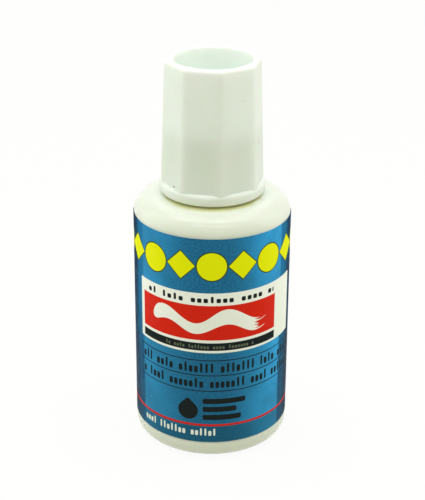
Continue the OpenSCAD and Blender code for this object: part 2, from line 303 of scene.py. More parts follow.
bench, given, result = new_tree(
    "screw_ridge", "GeometryNodeTree",
    [("Wall", GEOMETRY, None), ("Wall radius", FLOAT, 0.0), ("Height", FLOAT, 0.0),
     ("Bury", FLOAT, 0.0), ("Foot", FLOAT, 0.0), ("Crest", FLOAT, 0.0), ("Lead", FLOAT, 0.0),
     ("Turns", FLOAT, 0.0), ("Start angle", FLOAT, 0.0), ("Start height", FLOAT, 0.0),
     ("Material", "NodeSocketMaterial", None)],
    [("Geometry", GEOMETRY)])
side = bench.sum("SIGN", given["Height"])
sunk_radius = bench.sum("SUBTRACT", given["Wall radius"], bench.sum("MULTIPLY", side, given["Bury"]))
depth = bench.sum("ADD", given["Height"], bench.sum("MULTIPLY", side, given["Bury"]))
helix = bench.place("GeometryNodeCurveSpiral", {
    "Resolution": 64, "Rotations": given["Turns"], "Start Radius": sunk_radius,
    "End Radius": sunk_radius, "Height": bench.sum("MULTIPLY", given["Turns"], given["Lead"]),
    "Reverse": True})
upright = bench.place("GeometryNodeSetCurveNormal", {"Curve": helix.outputs["Curve"]}, mode="Z_UP")
half_foot = bench.sum("DIVIDE", given["Foot"], 2.0)
half_crest = bench.sum("DIVIDE", given["Crest"], 2.0)
corners = [(0.0, bench.sum("MULTIPLY", half_foot, -1.0)), (depth, bench.sum("MULTIPLY", half_crest, -1.0)),
           (depth, half_crest), (0.0, half_foot)]
section = bench.place("GeometryNodeCurvePrimitiveQuadrilateral", mode="POINTS")
for number, (across, up) in enumerate(corners, 1):
    corner = bench.place("ShaderNodeCombineXYZ", {"X": across, "Y": up})
    bench.feed(section.inputs[f"Point {number}"], corner.outputs["Vector"])
along = bench.place("GeometryNodeSplineParameter").outputs["Factor"]
turns_in = bench.sum("MULTIPLY", along, given["Turns"])
turns_left = bench.sum("SUBTRACT", given["Turns"], turns_in)
grown = bench.ramp(bench.sum("MINIMUM", turns_in, turns_left), 0.0, 0.16, 0.3, 1.0)
swept = bench.place("GeometryNodeCurveToMesh", {
    "Curve": upright.outputs["Curve"], "Profile Curve": section.outputs["Curve"],
    "Scale": grown, "Fill Caps": True})
turned_over = bench.place("GeometryNodeFlipFaces", {"Mesh": swept.outputs["Mesh"]})
outward = bench.place("GeometryNodeSwitch", {
    "Switch": bench.sum("LESS_THAN", given["Height"], 0.0), "False": swept.outputs["Mesh"],
    "True": turned_over.outputs["Mesh"]}, input_type="GEOMETRY")
turn = bench.place("ShaderNodeCombineXYZ", {"Z": given["Start angle"]})
rise = bench.place("ShaderNodeCombineXYZ", {"Z": given["Start height"]})
set_down = bench.place("GeometryNodeTransform", {
    "Geometry": outward.outputs["Output"], "Translation": rise.outputs["Vector"],
    "Rotation": turn.outputs["Vector"]})
together = bench.place("GeometryNodeJoinGeometry")
bench.feed(together.inputs["Geometry"], given["Wall"])
bench.feed(together.inputs["Geometry"], set_down.outputs["Geometry"])
real = bench.place("GeometryNodeRealizeInstances", {"Geometry": together.outputs["Geometry"]})
named = bench.place("GeometryNodeSetMaterial", {
    "Geometry": real.outputs["Geometry"], "Material": given["Material"]})
bench.feed(result["Geometry"], named.outputs["Geometry"])
screw_ridge = bench.tree
print("screw_ridge:", len(screw_ridge.nodes), "nodes")

# %% Run trees on a piece and keep the plain mesh
def run_trees(piece, trees, sharp_degrees=32):
    """Adds each tree as a modifier, sets its inputs, and bakes the result into the piece's mesh."""
    for tree, values in trees:
        modifier = piece.modifiers.new(tree.name, "NODES")
        modifier.node_group = tree
        names = {item.name: item.identifier for item in tree.interface.items_tree
                 if item.in_out == "INPUT"}
        for name, value in values.items():
            modifier[names[name]] = value
    bpy.context.view_layer.update()
    seen = piece.evaluated_get(bpy.context.evaluated_depsgraph_get())
    mesh = bpy.data.meshes.new_from_object(seen)
    piece.modifiers.clear()
    old = piece.data
    piece.data = mesh
    bpy.data.meshes.remove(old)
    mesh.name = piece.name
    mesh.shade_smooth()
    mesh.set_sharp_from_angle(angle=math.radians(sharp_degrees))
    print(f"{piece.name}: {len(mesh.polygons)} faces")


# %% [markdown]
# ## Plastics
# Polyethylene and polypropylene are a little greenish and let some light in, so their white is
# never paper white. The bottle is glossy from the blow mould's pressure, and the cap is satin from
# the grain of its steel mould. The cap's wall glows where it stands free above the web under its
# hollow, and is duller below, where light gets lost inside. Subsurface scattering does that by
# itself: light enters the wall, wanders a millimetre or two and leaves on either side of it.

# %% Finish: a plastic
def plastic(name, colour, shade, roughness, grain, depth, coat=0.0, specks_share=0.25,
            glow=0.12, glow_mm=1.2):
    """A moulded white plastic, mottled with the shade colour.
    Glow is the share of the light that wanders glow_mm under the surface before it comes out."""
    material, bench, shader = new_finish(name)
    skin = bench.group(moulded_skin, Grain_mm=grain, Waves_mm=7.0)
    cloud = bench.ramp(skin.outputs["Cloud"], 0.3, 0.7, 0.0, 0.3)
    tint = bench.paint(cloud, colour, shade)
    dots = bench.group(specks, Spacing_mm=3.1, Size_mm=0.11, Share=specks_share)
    tint = bench.paint(bench.sum("MULTIPLY", dots.outputs["Mask"], 0.55), tint, srgb(150, 140, 110))
    bench.feed(shader.inputs["Base Color"], tint)
    rough = bench.ramp(skin.outputs["Cloud"], 0.3, 0.7, roughness - 0.04, roughness + 0.05)
    bench.feed(shader.inputs["Roughness"], rough)
    emboss(bench, shader, skin.outputs["Height"], depth)
    shader.inputs["Subsurface Weight"].default_value = glow
    shader.inputs["Subsurface Radius"].default_value = (1.0, 0.8, 0.95)
    shader.inputs["Subsurface Scale"].default_value = glow_mm * MM
    shader.inputs["Coat Weight"].default_value = coat
    shader.inputs["Specular IOR Level"].default_value = 0.5 - 0.35 * coat
    shader.inputs["Coat Roughness"].default_value = 0.08
    return material


bottle_plastic = plastic("bottle_plastic", srgb(230, 235, 225), srgb(223, 229, 215), 0.3, 0.4, 0.005,
                         coat=1.0, specks_share=0.1, glow=0.7, glow_mm=1.6)
cap_plastic = plastic("cap_plastic", srgb(240, 252, 246), srgb(234, 248, 238), 0.42, 0.18, 0.008,
                      glow=1.0, glow_mm=2.0)
stem_plastic = plastic("stem_plastic", srgb(232, 236, 228), srgb(222, 227, 218), 0.38, 0.3, 0.01)
wiper_plastic = plastic("wiper_plastic", srgb(228, 233, 228), srgb(214, 221, 215), 0.3, 0.3, 0.01,
                        coat=0.2)
print("plastics:", ", ".join(m.name for m in (bottle_plastic, cap_plastic, stem_plastic, wiper_plastic)))

# %% [markdown]
# ## Marks of use, and painted shade under the flange
# A used bottle has a few marks at places of their own: a yellowed ring on the crown where the cap's
# flange sits, and specks on the cap. The ring is partly a stain and partly painted shade under the
# flange, which is why it is wider at the front. Each is a mask made from Object coordinates, and its
# colour is laid over whatever the finish already feeds to Base Color, so the finish itself stays
# reusable.

# %% Group: one small mark
bench, given, result = new_tree(
    "small_mark", "ShaderNodeTree",
    [("Place", VECTOR, (0, 0, 0)), ("Radius mm", FLOAT, 0.2), ("Width mm", FLOAT, 0.2),
     ("Soft mm", FLOAT, 0.06)],
    [("Mask", FLOAT)])
spot = bench.place("ShaderNodeTexCoord").outputs["Object"]
far = bench.place("ShaderNodeVectorMath", {0: spot, 1: given["Place"]}, operation="DISTANCE")
ragged = bench.place("ShaderNodeTexNoise", {"Vector": spot, "Scale": 2.5 / MM, "Detail": 1.0})
far_mm = bench.sum("ADD", bench.sum("DIVIDE", far.outputs["Value"], MM),
                   bench.ramp(ragged.outputs["Fac"], 0.3, 0.7, -0.07, 0.07))
off_ring = bench.sum("ABSOLUTE", bench.sum("SUBTRACT", far_mm, given["Radius mm"]))
past = bench.sum("SUBTRACT", off_ring, given["Width mm"])
bench.feed(result["Mask"], bench.ramp(past, given["Soft mm"], 0.0))
small_mark = bench.tree
print("small_mark:", len(small_mark.nodes), "nodes")


# %% Lay the marks over the finishes
def overpaint(bench, mask, colour):
    """Lays a colour over the one that already feeds the material's Base Color."""
    base = bench.tree.nodes["Principled BSDF"].inputs["Base Color"]
    bench.feed(base, bench.paint(mask, base.links[0].from_socket, colour))


# The crown's yellow ring is partly a stain and partly painted shade under the cap's flange. Its middle is
# moved forward, so that the painted shade is wider at the front.
RING_FORWARD = 1.4  # the ring is wider at the front
RING_OUTSIDE = (9.0, 8.1)  # each pair is where the yellow is gone, and where it is full
RING_INSIDE = (6.4, 7.2)
RING_FOOT = (45.0, 46.0)
RING_TOP = (48.0, 47.5)
bench = Bench(bottle_plastic.node_tree)
spot = bench.place("ShaderNodeTexCoord").outputs["Object"]
axes = bench.place("ShaderNodeSeparateXYZ", {"Vector": spot}).outputs
out = bench.length(axes["X"], bench.sum("ADD", axes["Y"], RING_FORWARD * MM))
uneven = bench.place("ShaderNodeTexNoise", {"Vector": spot, "Scale": 0.35 / MM, "Detail": 3.0})
out_mm = bench.sum("ADD", bench.sum("DIVIDE", out, MM),
                   bench.ramp(uneven.outputs["Fac"], 0.3, 0.7, -0.2, 0.2))
up_mm = bench.sum("DIVIDE", axes["Z"], MM)
stain_and_shade = bench.sum("MULTIPLY", bench.ramp(out_mm, *RING_OUTSIDE), bench.ramp(out_mm, *RING_INSIDE))
for gone, full in (RING_FOOT, RING_TOP):
    stain_and_shade = bench.sum("MULTIPLY", stain_and_shade, bench.ramp(up_mm, gone, full))
# Lays the colour of the stain and the painted shade over the crown.
overpaint(bench, stain_and_shade, srgb(222, 221, 168))

CAP_MARKS = [  # place in mm, radius, half width of the line, share, colour
    ((-6.6, -5.54, 49.6), 0.0, 0.17, 0.85, srgb(150, 128, 70)),
    ((5.02, -6.32, 65.4), 0.0, 0.07, 0.4, srgb(140, 150, 130)),
    ((7.97, -2.33, 56.94), 0.42, 0.06, 0.5, srgb(150, 176, 158))]
bench = Bench(cap_plastic.node_tree)
for place, radius, width, share, colour in CAP_MARKS:
    mark = bench.group(small_mark, Place=[v * MM for v in place], Radius_mm=radius, Width_mm=width)
    overpaint(bench, bench.sum("MULTIPLY", mark.outputs["Mask"], share), colour)
print("marks:", 1 + len(CAP_MARKS))

# %% [markdown]
# ## The bottle
# The bottle is blown in a two-part mould, so its wall is thin and the same all over, its shoulder
# is a soft curve and a fine parting line runs up both sides. The tube is pinched off under the base,
# which leaves a short ridge across the dish. The outline below repeats the CAD's own sizes with
# more steps in each curve. The two lines are pushed out of the turned mesh afterwards, which needs
# a few extra columns beside them.

# %% Turn the bottle
BODY_R = 14.0
WALL = 0.9
PANEL_R = 13.88
PANEL_LOW = 3.3
FOOT_OUT = 11.6
FOOT_IN = 10.0
BASE_ROUND = 2.4
PUSH_UP = 1.2
SHOULDER_IN = 9.6
SHOULDER_REACH = 4.4
SHOULDER_DROP = 4.0
SHOULDER_Z = 46.9
CROWN_Z = 47.2
NECK_R = 6.1
NECK_FILLET = 0.5
BORE_R = 4.8
LIP_Z = 56.4
LIP_ROUND = 0.3
PARTING_PROUD = 0.04
PARTING_HALF = 0.12
PARTING_TOP_Z = 43.5  # the line shows above this and below the label's panel
PINCH_PROUD = 0.22
PINCH_HALF = 6.5
PINCH_THICK = 0.45


def dish(lift):
    """Points under the pushed-up base, from the axis out to the foot ring."""
    radii = [FOOT_IN * i / 16 for i in range(17)]
    return [(r, PUSH_UP * (1 - (r / FOOT_IN) ** 2) + lift) for r in radii]


shoulder_start = math.degrees(math.acos((PANEL_R - SHOULDER_IN) / SHOULDER_REACH))
shoulder_mid = SHOULDER_Z - SHOULDER_DROP
outside = (
    dish(0)
    + arc(FOOT_OUT, BASE_ROUND, BASE_ROUND, BASE_ROUND, -90, 0, 18)
    + [(BODY_R, PANEL_LOW - 0.08), (BODY_R - 0.03, PANEL_LOW), (PANEL_R, PANEL_LOW + 0.06)]
    + arc(SHOULDER_IN, shoulder_mid, SHOULDER_REACH, SHOULDER_DROP, shoulder_start, 90, 26)
    + arc(NECK_R + NECK_FILLET, CROWN_Z + NECK_FILLET, NECK_FILLET, NECK_FILLET, 270, 180, 6)
    + arc(NECK_R - LIP_ROUND, LIP_Z - LIP_ROUND, LIP_ROUND, LIP_ROUND, 0, 90, 5))
inside = (
    dish(WALL)
    + arc(FOOT_OUT, BASE_ROUND, BASE_ROUND - WALL, BASE_ROUND - WALL, -90, 0, 8)
    + arc(SHOULDER_IN, shoulder_mid, SHOULDER_REACH - WALL, SHOULDER_DROP - WALL, 0, 90, 12)
    + [(BORE_R + NECK_FILLET, CROWN_Z - WALL), (BORE_R, CROWN_Z - WALL + NECK_FILLET), (BORE_R, LIP_Z)])
beside_line = [math.radians(a) for a in (0.25, 0.5, 0.8, 1.2)]
bottle_columns = sorted(
    set(even_columns(168)) | {(side + sign * a) % (2 * math.pi)
                              for side in (0, math.pi) for sign in (1, -1) for a in beside_line})
points, faces = turned(outside + list(reversed(inside)), bottle_columns)


def with_lines(x, y, z):
    """Raises the parting line at both sides, and the pinch-off ridge in the dish."""
    radius = math.hypot(x, y)
    off_line = abs(y) / max(radius, 1e-6) * BODY_R
    near = math.exp(-(off_line / PARTING_HALF) ** 2)
    if radius > 12 and (z < PANEL_LOW or z > PARTING_TOP_Z) and abs(y) < 1:
        room = min(PARTING_PROUD, BODY_R - radius)
        grow = 1 + near * room / radius
        return x * grow, y * grow, z
    if z < PUSH_UP + 0.01 and radius < FOOT_IN:
        across = math.exp(-(y / PINCH_THICK) ** 2) * (1 - min(1, abs(x) / PINCH_HALF) ** 6)
        return x, y, z - PINCH_PROUD * across
    return x, y, z


RIDGE_HEIGHT = 0.8
RIDGE_SECTION = {"Bury": 0.25 * MM, "Foot": 1.27 * MM, "Crest": 0.55 * MM, "Lead": 2.5 * MM}
NECK_THREAD_Z = 50.2
bottle_body = new_piece("bottle_body", [with_lines(*p) for p in points], faces)
run_trees(bottle_body, [(screw_ridge, {
    **RIDGE_SECTION, "Wall radius": NECK_R * MM, "Height": RIDGE_HEIGHT * MM, "Turns": 1.6,
    "Start angle": math.radians(200), "Start height": NECK_THREAD_Z * MM,
    "Material": bottle_plastic})])
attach(bottle_body, "bottle")
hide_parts("bottle")

# %% [markdown]
# ## The cap
# The cap is one moulding: a round flange, eight flat sides that lean inward, a rounded rim, an open
# hollow on top, and inside it the threaded bore and the socket for the brush. A lathe can make all
# of it but the flats, so the blank is turned first. The flats follow a rule, so a Geometry Nodes
# tree presses them: for each point of the outside it finds the angle to the nearest flat's middle,
# and the flat's distance from the axis divided by that angle's cosine is how far out the flat lies.
# A Smooth Minimum of that radius and the blank's own radius gives flats whose corners are rounded
# and whose rim is scalloped, all from one sum.

# %% Tree: press flats on a round blank
bench, given, result = new_tree(
    "press_flats", "GeometryNodeTree",
    [("Blank", GEOMETRY, None), ("Flats", FLOAT, 8.0), ("Low height", FLOAT, 0.0),
     ("Low reach", FLOAT, 0.0), ("High height", FLOAT, 0.0), ("High reach", FLOAT, 0.0),
     ("Sunk height", FLOAT, 0.0), ("Corner reach", FLOAT, 0.0), ("Rim rounding", FLOAT, 0.0),
     ("Corner angle", FLOAT, 0.0), ("Corner rounding", FLOAT, 0.0), ("Inner limit", FLOAT, 0.0),
     ("Material", "NodeSocketMaterial", None)],
    [("Geometry", GEOMETRY)])
spot = bench.place("GeometryNodeInputPosition").outputs["Position"]
axes = bench.place("ShaderNodeSeparateXYZ", {"Vector": spot}).outputs
blank_radius = bench.length(axes["X"], axes["Y"])
angle = bench.sum("SUBTRACT", bench.sum("ARCTAN2", axes["Y"], axes["X"]), given["Corner angle"])
step = bench.sum("DIVIDE", 2 * math.pi, given["Flats"])
off_middle = bench.sum("SUBTRACT", bench.sum("MODULO", bench.sum("ADD", angle, 8 * math.pi), step),
                       bench.sum("DIVIDE", step, 2.0))
leaning = bench.ramp(axes["Z"], given["Low height"], given["High height"],
                     given["Low reach"], given["High reach"], smooth=False)
# At the rim each flat bends in along a quarter circle
rounding = given["Rim rounding"]
climbed = bench.sum("MAXIMUM", bench.sum(
    "SUBTRACT", axes["Z"], bench.sum("SUBTRACT", given["High height"], rounding)), 0.0)
left = bench.sum("SUBTRACT", bench.sum("MULTIPLY", rounding, rounding),
                 bench.sum("MULTIPLY", climbed, climbed))
inset = bench.sum("SUBTRACT", rounding, bench.sum("SQRT", bench.sum("MAXIMUM", left, 0.0)))
flat_distance = bench.sum("SUBTRACT", leaning, inset)
flat_radius = bench.sum("DIVIDE", flat_distance, bench.sum("COSINE", off_middle))
above = bench.sum("GREATER_THAN", axes["Z"], bench.sum("SUBTRACT", given["Low height"], 1e-6))
# Above the flange the blank is pressed in, and inside it the corners stand out of its rounding
limit = bench.place("ShaderNodeMix", {
    "Factor_Float": above, "A_Float": given["Corner reach"], "B_Float": blank_radius})
prism = bench.sum("SMOOTH_MIN", flat_radius, limit.outputs["Result"], given["Corner rounding"])
under = bench.sum("MAXIMUM", prism, blank_radius)
choice = bench.place("ShaderNodeMix", {"Factor_Float": above, "A_Float": under, "B_Float": prism})
pressed = choice.outputs["Result"]
shrink = bench.sum("DIVIDE", pressed, bench.sum("MAXIMUM", blank_radius, 0.0001))
moved = bench.place("ShaderNodeCombineXYZ", {
    "X": bench.sum("MULTIPLY", axes["X"], shrink), "Y": bench.sum("MULTIPLY", axes["Y"], shrink),
    "Z": axes["Z"]})
high_enough = bench.sum("GREATER_THAN", axes["Z"], given["Sunk height"])
outer = bench.sum("GREATER_THAN", blank_radius, given["Inner limit"])
press = bench.place("GeometryNodeSetPosition", {
    "Geometry": given["Blank"], "Selection": bench.sum("MULTIPLY", high_enough, outer),
    "Position": moved.outputs["Vector"]})
real = bench.place("GeometryNodeRealizeInstances", {"Geometry": press.outputs["Geometry"]})
named = bench.place("GeometryNodeSetMaterial", {
    "Geometry": real.outputs["Geometry"], "Material": given["Material"]})
bench.feed(result["Geometry"], named.outputs["Geometry"])
press_flats = bench.tree
print("press_flats:", len(press_flats.nodes), "nodes")

# %% Turn the cap's blank and press its flats
CAP_Z = 47.4
FLANGE_FOOT_Z = 47.28  # the outer rim hangs a little lower than the cap's seat
FLANGE_Z = 49.3
RIM_Z = 71.0
FLANGE_R = 9.25
FLANGE_ROUND = 0.6
FLANGE_FOOT_ROUND = 0.5
LOW_CORNER_R = 9.24
TOP_CORNER_R = 8.48
CORNER_CUT = 0.1
RIM_ROUND = 0.6
HOLLOW_R = 6.85
HOLLOW_FLOOR_R = 6.55
HOLLOW_FILLET = 0.8
MOUTH_ROUND = 0.25
WEB_Z = 59.35
CEILING_Z = 58.05
CAP_BORE_R = 7.15
BORE_BEVEL = 0.4
SOCKET_R = 2.89
SOCKET_BORE_R = 1.79
SOCKET_Z = 52.65
CAP_THREAD_Z = 48.7
GATE_R = 0.8
GATE_PROUD = 0.12
CORNER_AZIMUTH = math.radians(9.2 - 90)
HALF_SIDE = math.pi / 8

wall_low = LOW_CORNER_R - CORNER_CUT
wall_high = TOP_CORNER_R - CORNER_CUT
wall_steps = 24
wall = [(wall_low + (wall_high - wall_low) * i / wall_steps,
         FLANGE_Z + (RIM_Z - RIM_ROUND - FLANGE_Z) * i / wall_steps) for i in range(wall_steps)]
blank = (
    [(0, CEILING_Z), (SOCKET_BORE_R, CEILING_Z), (SOCKET_BORE_R, SOCKET_Z + 0.15),
     (SOCKET_BORE_R + 0.15, SOCKET_Z), (SOCKET_R - 0.1, SOCKET_Z), (SOCKET_R, SOCKET_Z + 0.1),
     (SOCKET_R, CEILING_Z), (CAP_BORE_R - 0.1, CEILING_Z), (CAP_BORE_R, CEILING_Z - 0.1),
     (CAP_BORE_R, CAP_Z + BORE_BEVEL), (CAP_BORE_R + BORE_BEVEL, CAP_Z),
     (CAP_BORE_R + BORE_BEVEL + 0.4, CAP_Z), (CAP_BORE_R + BORE_BEVEL + 0.6, FLANGE_FOOT_Z)]
    + arc(FLANGE_R - FLANGE_FOOT_ROUND, FLANGE_FOOT_Z + FLANGE_FOOT_ROUND, FLANGE_FOOT_ROUND,
          FLANGE_FOOT_ROUND, -90, 0, 5)
    + arc(FLANGE_R - FLANGE_ROUND, FLANGE_Z - FLANGE_ROUND, FLANGE_ROUND, FLANGE_ROUND, 0, 86, 11)
    + wall
    + arc(wall_high - RIM_ROUND, RIM_Z - RIM_ROUND, RIM_ROUND, RIM_ROUND, 0, 90, 18)
    + arc(HOLLOW_R + MOUTH_ROUND, RIM_Z - MOUTH_ROUND, MOUTH_ROUND, MOUTH_ROUND, 90, 180, 6)
    + arc(HOLLOW_FLOOR_R - HOLLOW_FILLET, WEB_Z + HOLLOW_FILLET, HOLLOW_FILLET, HOLLOW_FILLET,
          0, -90, 8)
    + [(GATE_R + 0.15, WEB_Z), (GATE_R, WEB_Z + GATE_PROUD), (0, WEB_Z + GATE_PROUD)])
flat_half = HALF_SIDE - math.radians(3.6)
corner_half = [math.radians(a) for a in (-3.0, -2.25, -1.5, -0.75, 0, 0.75, 1.5, 2.25, 3.0)]
cap_columns = []
for number in range(8):
    corner = CORNER_AZIMUTH + number * 2 * HALF_SIDE
    cap_columns += [corner + a for a in corner_half]
    cap_columns += [corner + HALF_SIDE + flat_half * (i / 7 - 1) for i in range(15)]
cap_shell = new_piece("cap_shell", *turned(blank, cap_columns))
run_trees(cap_shell, [
    (press_flats, {
        "Flats": 8.0, "Low height": FLANGE_Z * MM, "High height": RIM_Z * MM,
        "Low reach": LOW_CORNER_R * math.cos(HALF_SIDE) * MM,
        "High reach": TOP_CORNER_R * math.cos(HALF_SIDE) * MM,
        "Sunk height": (FLANGE_Z - FLANGE_ROUND + 0.02) * MM, "Corner reach": wall_low * MM,
        "Rim rounding": RIM_ROUND * MM, "Corner angle": CORNER_AZIMUTH,
        "Corner rounding": 0.22 * MM, "Inner limit": 7.3 * MM, "Material": cap_plastic}),
    (screw_ridge, {
        **RIDGE_SECTION, "Wall radius": CAP_BORE_R * MM, "Height": -RIDGE_HEIGHT * MM, "Turns": 1.3,
        "Start angle": math.radians(132.45), "Start height": CAP_THREAD_Z * MM,
        "Material": cap_plastic})])
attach(cap_shell, "cap")
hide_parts("cap")

# %% [markdown]
# ## The label's print
# The label is a printed film. Its ink is drawn by nodes from two numbers, the distance round the
# body from the middle of the front and the height above the base, both in millimetres. They come
# from Object coordinates, because the label is a plain cylinder: the distance is the radius times
# the angle. The print itself is made of fields and simple shapes. `print_block` masks one rounded
# rectangle, `print_lines` masks lines of small blocks with gaps, and `print_ring` repeats a disc
# and a diamond round the body. Each shape is a distance to an edge, turned into a mask with a ramp.

# %% Group: round the body in millimetres
bench, given, result = new_tree("round_body", "ShaderNodeTree", [("Radius mm", FLOAT, 14.0)],
                                [("Across", FLOAT), ("Up", FLOAT)])
place = bench.place("ShaderNodeTexCoord").outputs["Object"]
axes = bench.place("ShaderNodeSeparateXYZ", {"Vector": place}).outputs
angle = bench.sum("ARCTAN2", axes["X"], bench.sum("MULTIPLY", axes["Y"], -1.0))
bench.feed(result["Across"], bench.sum("MULTIPLY", angle, given["Radius mm"]))
bench.feed(result["Up"], bench.sum("DIVIDE", axes["Z"], MM))
round_body = bench.tree
print("round_body:", len(round_body.nodes), "nodes")

# %% Group: one rounded block of ink
bench, given, result = new_tree(
    "print_block", "ShaderNodeTree",
    [("Across", FLOAT, 0.0), ("Up", FLOAT, 0.0), ("Left", FLOAT, 0.0), ("Right", FLOAT, 1.0),
     ("Low", FLOAT, 0.0), ("High", FLOAT, 1.0), ("Corner", FLOAT, 0.0)],
    [("Mask", FLOAT)])


def past_edge(value, low, high):
    """How far a value lies outside the block's straight part, on one axis."""
    middle = bench.sum("DIVIDE", bench.sum("ADD", low, high), 2.0)
    half = bench.sum("DIVIDE", bench.sum("SUBTRACT", high, low), 2.0)
    off = bench.sum("ABSOLUTE", bench.sum("SUBTRACT", value, middle))
    return bench.sum("SUBTRACT", off, bench.sum("SUBTRACT", half, given["Corner"]))


side_off = past_edge(given["Across"], given["Left"], given["Right"])
up_off = past_edge(given["Up"], given["Low"], given["High"])
side_out = bench.sum("MAXIMUM", side_off, 0.0)
up_out = bench.sum("MAXIMUM", up_off, 0.0)
round_out = bench.length(side_out, up_out)
straight_in = bench.sum("MINIMUM", bench.sum("MAXIMUM", side_off, up_off), 0.0)
beyond = bench.sum("SUBTRACT", bench.sum("ADD", round_out, straight_in), given["Corner"])
bench.feed(result["Mask"], bench.ramp(beyond, 0.03, -0.03))
print_block = bench.tree
print("print_block:", len(print_block.nodes), "nodes")

# %% Group: lines of small blocks in words
bench, given, result = new_tree(
    "print_lines", "ShaderNodeTree",
    [("Across", FLOAT, 0.0), ("Up", FLOAT, 0.0), ("Left", FLOAT, 0.0), ("Right", FLOAT, 1.0),
     ("Low", FLOAT, 0.0), ("Tall", FLOAT, 1.0), ("Line step", FLOAT, 2.0), ("Lines", FLOAT, 1.0),
     ("Pitch", FLOAT, 1.0), ("Seed", FLOAT, 0.0)],
    [("Mask", FLOAT)])
climb = bench.sum("DIVIDE", bench.sum("SUBTRACT", given["Up"], given["Low"]), given["Line step"])
line = bench.sum("FLOOR", climb)
in_line = bench.sum("DIVIDE", bench.sum("MULTIPLY", bench.sum("FRACT", climb), given["Line step"]),
                    given["Tall"])
count = bench.sum("DIVIDE", bench.sum("SUBTRACT", given["Across"], given["Left"]), given["Pitch"])
number = bench.sum("FLOOR", count)
in_cell = bench.sum("SUBTRACT", bench.sum("FRACT", count), 0.5)


def drawn(offset):
    """A random number from 0 to 1 that is the same all over one cell of one line."""
    key = bench.sum("ADD", bench.sum("ADD", number, bench.sum("MULTIPLY", line, 37.0)), given["Seed"])
    key = bench.sum("ADD", key, offset)
    return bench.place("ShaderNodeTexWhiteNoise", {"W": key}, noise_dimensions="1D").outputs["Value"]


def rounded(value, half):
    """The fourth power of the share of the way to the edge, which rounds a block's corners."""
    return bench.sum("POWER", bench.sum("DIVIDE", bench.sum("ABSOLUTE", value), half), 4.0)


tall = bench.sum("GREATER_THAN", drawn(50.31), 0.68)
half_wide = bench.ramp(tall, 0.0, 1.0, 0.35, 0.22, smooth=False)
half_tall = bench.ramp(tall, 0.0, 1.0, 0.34, 0.5, smooth=False)
# Steps of the golden ratio spread the gaps between the words evenly but never in time
gap = bench.sum("FRACT", bench.sum("ADD", bench.sum("MULTIPLY", number, 0.381966),
                                   bench.sum("ADD", bench.sum("MULTIPLY", line, 0.23), given["Seed"])))
shape = bench.sum("ADD", rounded(in_cell, half_wide),
                  rounded(bench.sum("SUBTRACT", in_line, half_tall), half_tall))
masks = [
    bench.ramp(shape, 1.25, 0.75),
    bench.sum("GREATER_THAN", climb, 0.0),
    bench.sum("LESS_THAN", line, bench.sum("SUBTRACT", given["Lines"], 0.5)),
    bench.sum("GREATER_THAN", count, 0.0),
    bench.sum("LESS_THAN", bench.sum("ADD", given["Across"], bench.sum("MULTIPLY", given["Pitch"], 0.4)),
              given["Right"]),
    bench.sum("GREATER_THAN", gap, 0.15)]
total = masks[0]
for mask in masks[1:]:
    total = bench.sum("MULTIPLY", total, mask)
bench.feed(result["Mask"], total)
print_lines = bench.tree
print("print_lines:", len(print_lines.nodes), "nodes")

# %% Group: a ring of discs and diamonds
bench, given, result = new_tree(
    "print_ring", "ShaderNodeTree",
    [("Across", FLOAT, 0.0), ("Up", FLOAT, 0.0), ("Left", FLOAT, 0.0), ("Middle", FLOAT, 0.0),
     ("Pitch", FLOAT, 6.0), ("Size", FLOAT, 5.0), ("Outline", FLOAT, 0.2)],
    [("Fill", FLOAT), ("Edge", FLOAT)])
count = bench.sum("DIVIDE", bench.sum("SUBTRACT", given["Across"], given["Left"]), given["Pitch"])
aside = bench.sum("MULTIPLY", bench.sum("SUBTRACT", bench.sum("FRACT", count), 0.5), given["Pitch"])
aside = bench.sum("ABSOLUTE", aside)
above = bench.sum("ABSOLUTE", bench.sum("SUBTRACT", given["Up"], given["Middle"]))
half = bench.sum("DIVIDE", given["Size"], 2.0)
disc = bench.sum("SUBTRACT", bench.length(aside, above), half)
diamond = bench.sum("DIVIDE", bench.sum("SUBTRACT", bench.sum("ADD", aside, above), half), 1.2)
odd = bench.sum("ABSOLUTE", bench.sum("MODULO", bench.sum("FLOOR", count), 2.0))
choice = bench.place("ShaderNodeMix", {"Factor_Float": odd, "A_Float": disc, "B_Float": diamond})
past = choice.outputs["Result"]
bench.feed(result["Fill"], bench.ramp(past, 0.03, -0.03))
bench.feed(result["Edge"], bench.ramp(bench.sum("SUBTRACT", past, given["Outline"]), 0.05, -0.05))
print_ring = bench.tree
print("print_ring:", len(print_ring.nodes), "nodes")

# %% [markdown]
# ## Laying down the inks
# The film is printed in layers, so the material is built in layers too. Each layer is a mask and a
# colour painted over what is under it: first a watery blue, with painted light from the side lamps
# that makes it lighter towards the sides, and beyond them navy, a painted dark reflection at the
# edges where the body turns away, with printed ripples on it. Then come the yellow ring with its
# dark edge, the white panel with a red field, a dark bar, ruled lines, lines of small blocks, a drop
# and a broad stroke.

# %% Finish: the film's blue ground
label_film, bench, shader = new_finish("label_film")
spot = bench.group(round_body, Radius_mm=BODY_R)
across, up = spot.outputs["Across"], spot.outputs["Up"]
flat = bench.place("ShaderNodeCombineXYZ", {"X": across, "Y": up}).outputs["Vector"]


def clouds(scale, detail, at=flat, distortion=0.0):
    made = bench.place("ShaderNodeTexNoise", {
        "Vector": at, "Scale": scale, "Detail": detail, "Distortion": distortion})
    return made.outputs["Fac"]


